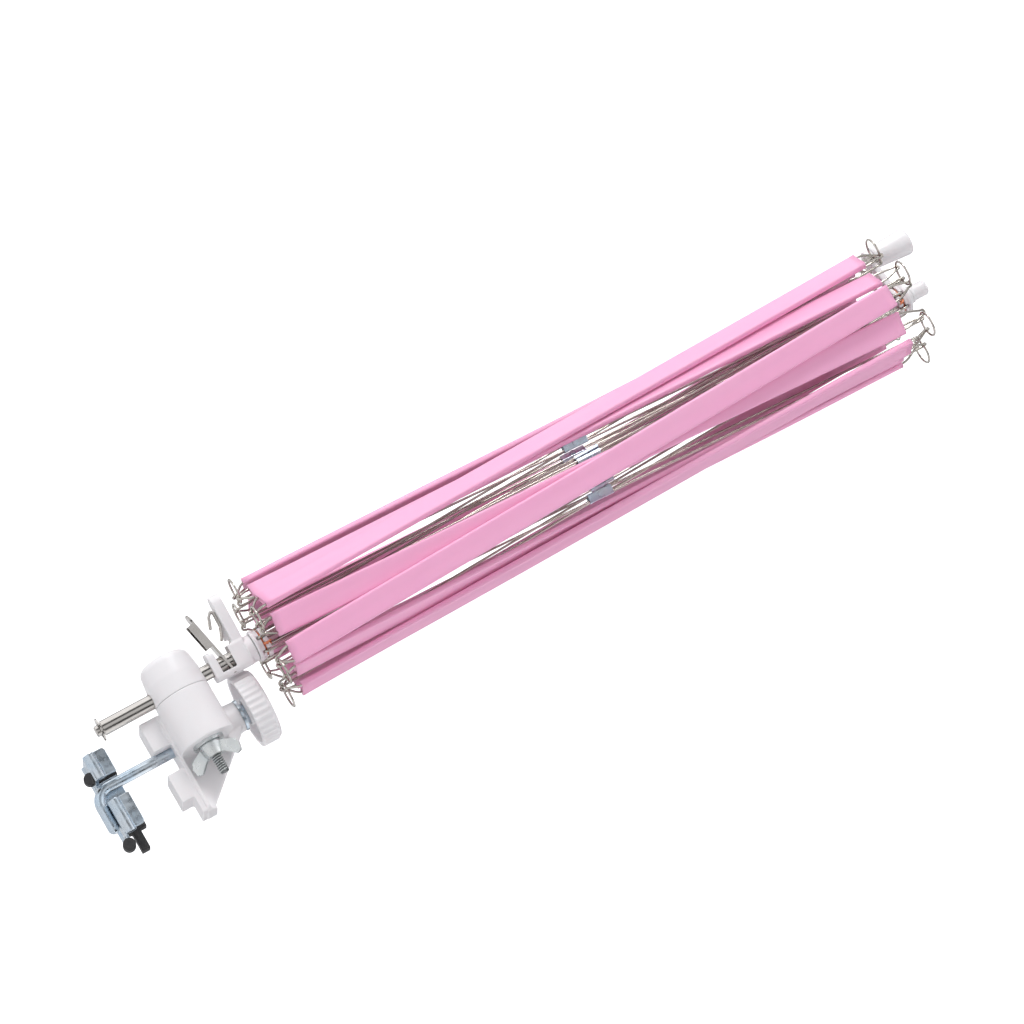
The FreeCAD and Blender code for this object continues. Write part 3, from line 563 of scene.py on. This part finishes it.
def softened(node, voxel):
    """A copy of a CAD node's mesh, remeshed and smoothed so that its edges are rounded."""
    source = nodes[node].data
    merged = bmesh.new()
    merged.from_mesh(source)
    bmesh.ops.remove_doubles(merged, verts=merged.verts, dist=MERGE_DISTANCE)
    mesh = bpy.data.meshes.new(f"{node}_source")
    merged.to_mesh(mesh)
    merged.free()
    piece = new_object(f"{node}_moulding", mesh)
    remesh = piece.modifiers.new("remesh", "REMESH")
    remesh.mode = "VOXEL"
    remesh.voxel_size = voxel * MM
    remesh.use_smooth_shade = True
    smooth = piece.modifiers.new("smooth", "SMOOTH")
    smooth.factor = 0.5
    smooth.iterations = SMOOTHING_PASSES
    graph = bpy.context.evaluated_depsgraph_get()
    made = bpy.data.meshes.new_from_object(piece.evaluated_get(graph))
    piece.modifiers.clear()
    piece.data = made
    made.name = f"{node}_moulding"
    return piece


def make_mouldings():
    for node, (body, voxel, material, slot) in MOULDED.items():
        piece = softened(node, voxel)
        paint(piece, material)
        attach(piece, body)
        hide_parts(node)


# ---- wing bolt with its thread ----
def threaded_bar(name, start, along, length, radius, sides=40, rows_per_turn=10):
    """Screw with one right-hand thread from start along a unit direction, chamfered at its far end."""
    u = along.orthogonal().normalized()
    v = along.cross(u)
    rows = round(length / THREAD_PITCH * rows_per_turn) + 1
    vertices = []
    for i in range(rows):
        t = length * i / (rows - 1)
        for j in range(sides):
            a = 2 * math.pi * j / sides
            turn = (t / THREAD_PITCH - j / sides) % 1.0
            flank = min(1.0, abs(2 * turn - 1) * THREAD_FLANK)
            size = radius - THREAD_DEPTH * flank
            size = min(size, radius - TIP_CHAMFER + (length - t))
            vertices.append(start + along * t + (u * math.cos(a) + v * math.sin(a)) * size)
    faces = loft_faces(rows, sides, False)
    faces.append(tuple(reversed(range(sides))))
    faces.append(tuple(range((rows - 1) * sides, rows * sides)))
    return mesh_from(name, vertices, faces)


def make_bolt():
    """The CAD bolt's eye with a threaded shank in place of its plain one, with shade painted into the
    thread grooves.
    """
    far_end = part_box("eye_bolt")[1][0]
    cut_at = BARREL.x + BOLT_HEAD_REACH
    eye = bmesh.new()
    eye.from_mesh(nodes["eye_bolt"].data)
    everything = eye.verts[:] + eye.edges[:] + eye.faces[:]
    cut = {"plane_co": (cut_at, 0, 0), "plane_no": (1, 0, 0)}
    bmesh.ops.bisect_plane(eye, geom=everything, clear_outer=True, **cut)
    eye_mesh = bpy.data.meshes.new("bolt_eye")
    eye.to_mesh(eye_mesh)
    eye.free()
    start = Vector((cut_at, BARREL.y, BARREL.z))
    shank = threaded_bar("bolt_shank", start, Vector((1, 0, 0)), far_end - cut_at, BOLT_RADIUS)
    bolt = new_object("wing_bolt", joined_mesh("wing_bolt", [eye_mesh, shank]))
    paint(bolt, BRIGHT_ZINC, GROOVE_SHADE_ZINC)
    # Faces deep in the thread grooves take the darker zinc: painted shade in the grooves.
    for polygon in bolt.data.polygons:
        off_axis = math.hypot(polygon.center.y - BARREL.y, polygon.center.z - BARREL.z)
        shaded_groove = polygon.center.x > cut_at and off_axis < BOLT_RADIUS - GROOVE_SHADE_DEPTH
        polygon.material_index = 1 if shaded_groove else 0
    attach(bolt, "holder")
    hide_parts("eye_bolt")


# ---- copper ties with twisted ends ----
def twisted_tie(name, body, height, node, droop):
    """Wire ring through the arm eyes; its two ends are wound round each other and splayed."""
    azimuth = math.radians(TIE_AZIMUTH)
    out = Vector((math.cos(azimuth), math.sin(azimuth), 0))
    sideways = out.cross(Z_UP)
    centre = Vector((SHAFT.x, SHAFT.y, height))
    ring = []
    for i in range(TIE_RING_POINTS):
        a = azimuth + 2 * math.pi * i / TIE_RING_POINTS
        ring.append(centre + Vector((math.cos(a), math.sin(a), 0)) * TIE_RING)
    meshes = [swept(f"{name}_ring", ring, TIE_RADIUS, closed=True)]
    for strand in (0, 1):
        path = []
        for i in range(STRAND_STEPS + 1):
            t = i / STRAND_STEPS
            a = math.pi * strand + 2 * math.pi * STRAND_TURNS * t
            spread = STRAND_OFFSET + SPLAY * max(0.0, t - SPLAY_START)
            along = out * (TIE_RING + STRAND_GAP + STRAND_LENGTH * t)
            line = along + Z_UP * droop * STRAND_DROOP * t * t
            path.append(centre + line + (sideways * math.cos(a) + Z_UP * math.sin(a)) * spread)
        meshes.append(swept(f"{name}_strand_{strand}", path, TIE_RADIUS, sides=10))
    tie = new_object(name, joined_mesh(name, meshes))
    paint(tie, COPPER)
    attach(tie, body)
    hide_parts(node)


# ---- carried-over CAD nodes ----
STEEL_NODES = ("shaft_tube", "spindle", "spindle_clip", "crank_pin", "latch_lever", "latch_spring")
ZINC_NODES = ("clamp_rod", "knob_nut")


def paint_nodes():
    for name, node in nodes.items():
        if "ring" in name and "spring" not in name:
            paint(node, WIRE)
        elif "_arm_" in name:
            paint_arm(node)
    for name in STEEL_NODES:
        paint(nodes[name], STEEL)
    for name in ZINC_NODES:
        paint(nodes[name], ZINC)
    paint(nodes["bolt_washer"], BRIGHT_ZINC)


def paint_arm(node):
    """Nickel wire, with the zinc clip and rivet at the crossing."""
    paint(node, WIRE, ZINC)
    middle = (UPPER_Z + LOWER_Z) / 2
    heights = [v.co.z for v in node.data.vertices]
    for polygon in node.data.polygons:
        inside = all(abs(heights[i] - middle) < CLIP_REACH for i in polygon.vertices)
        polygon.material_index = 1 if inside else 0


# ---- stage ----
def make_camera():
    a, e = math.radians(VIEW_AZIMUTH), math.radians(VIEW_ELEVATION)
    back = Vector((math.sin(a) * math.cos(e), -math.cos(a) * math.cos(e), math.sin(e)))
    right = Z_UP.cross(back).normalized()
    up = back.cross(right)
    roll = math.radians(VIEW_ROLL)
    image_right = right * math.cos(roll) + up * math.sin(roll)
    image_up = up * math.cos(roll) - right * math.sin(roll)
    aim = Vector((SHAFT.x, SHAFT.y, AIM_HEIGHT)) - image_right * AIM_LEFT - image_up * AIM_DOWN
    data = bpy.data.cameras.new("camera")
    data.lens = LENS
    data.sensor_width = SENSOR
    data.clip_start = 0.05
    data.clip_end = 50
    camera = bpy.data.objects.new("camera", data)
    bpy.context.scene.collection.objects.link(camera)
    turn = Matrix((image_right, image_up, back)).transposed().to_4x4()
    camera.matrix_world = Matrix.Translation(aim + back * VIEW_DISTANCE) @ turn
    bpy.context.scene.camera = camera
    return image_up, back, aim


def area_light(name, place, aim, size, power):
    data = bpy.data.lights.new(name, "AREA")
    data.shape = "DISK"
    data.size = size
    data.energy = power
    light = bpy.data.objects.new(name, data)
    bpy.context.scene.collection.objects.link(light)
    light.location = place
    light.rotation_mode = "QUATERNION"
    light.rotation_quaternion = (aim - place).to_track_quat("-Z", "Y")


def shade_by_direction(tree, direction, axis, tones):
    """Room brightness by how far a direction points along an axis: (position -1 to 1, tone) steps."""
    along = tree.nodes.new("ShaderNodeVectorMath")
    along.operation = "DOT_PRODUCT"
    along.inputs[1].default_value = axis
    tree.links.new(direction, along.inputs[0])
    share = tree.nodes.new("ShaderNodeMapRange")
    share.inputs["From Min"].default_value = -1.0
    tree.links.new(along.outputs["Value"], share.inputs["Value"])
    ramp = tree.nodes.new("ShaderNodeValToRGB")
    elements = ramp.color_ramp.elements
    while len(elements) < len(tones):
        elements.new(0.5)
    for element, (position, tone) in zip(elements, tones):
        element.position = (position + 1) / 2
        element.color = (tone, tone, tone * 1.01, 1)
    tree.links.new(share.outputs["Result"], ramp.inputs["Fac"])
    return ramp.outputs["Color"]


def make_room(image_up, back, aim):
    across_view = Z_UP.cross(back).normalized()
    world = bpy.data.worlds.new("soft_room")
    bpy.context.scene.world = world
    world.use_nodes = True
    tree = world.node_tree
    surround = tree.nodes["Background"]
    where = tree.nodes.new("ShaderNodeTexCoord")
    front = shade_by_direction(tree, where.outputs["Generated"], FRONT_AXIS, FRONT_TONES)
    across = shade_by_direction(tree, where.outputs["Generated"], across_view, SIDE_TONES)
    both = tree.nodes.new("ShaderNodeMix")
    both.data_type = "RGBA"
    both.blend_type = "MULTIPLY"
    both.inputs["Factor"].default_value = 1.0
    tree.links.new(front, both.inputs["A"])
    tree.links.new(across, both.inputs["B"])
    tree.links.new(both.outputs["Result"], surround.inputs["Color"])
    surround.inputs["Strength"].default_value = ROOM_STRENGTH
    area_light("key", aim + image_up * KEY_UP + back * KEY_BACK, aim, KEY_SIZE, KEY_POWER)
    area_light("fill", aim - image_up * FILL_DOWN + back * FILL_BACK, aim, FILL_SIZE, FILL_POWER)
    signs = ((-1, -1), (1, -1), (1, 1), (-1, 1))
    corners = [(x * FLOOR_SIZE, y * FLOOR_SIZE, FLOOR_Z) for x, y in signs]
    floor = new_object("floor", mesh_from("floor", corners, [(0, 1, 2, 3)]))
    paint(floor, floor_paint())
    bpy.context.scene.view_settings.view_transform = "Standard"


make_room(*make_camera())
paint_nodes()
make_mouldings()
make_bolt()
twisted_tie("upper_tie", "head", UPPER_Z, "upper_tie_wire", -1)
twisted_tie("lower_tie", "runner", LOWER_Z, "lower_tie_wire", 1)
make_slats()
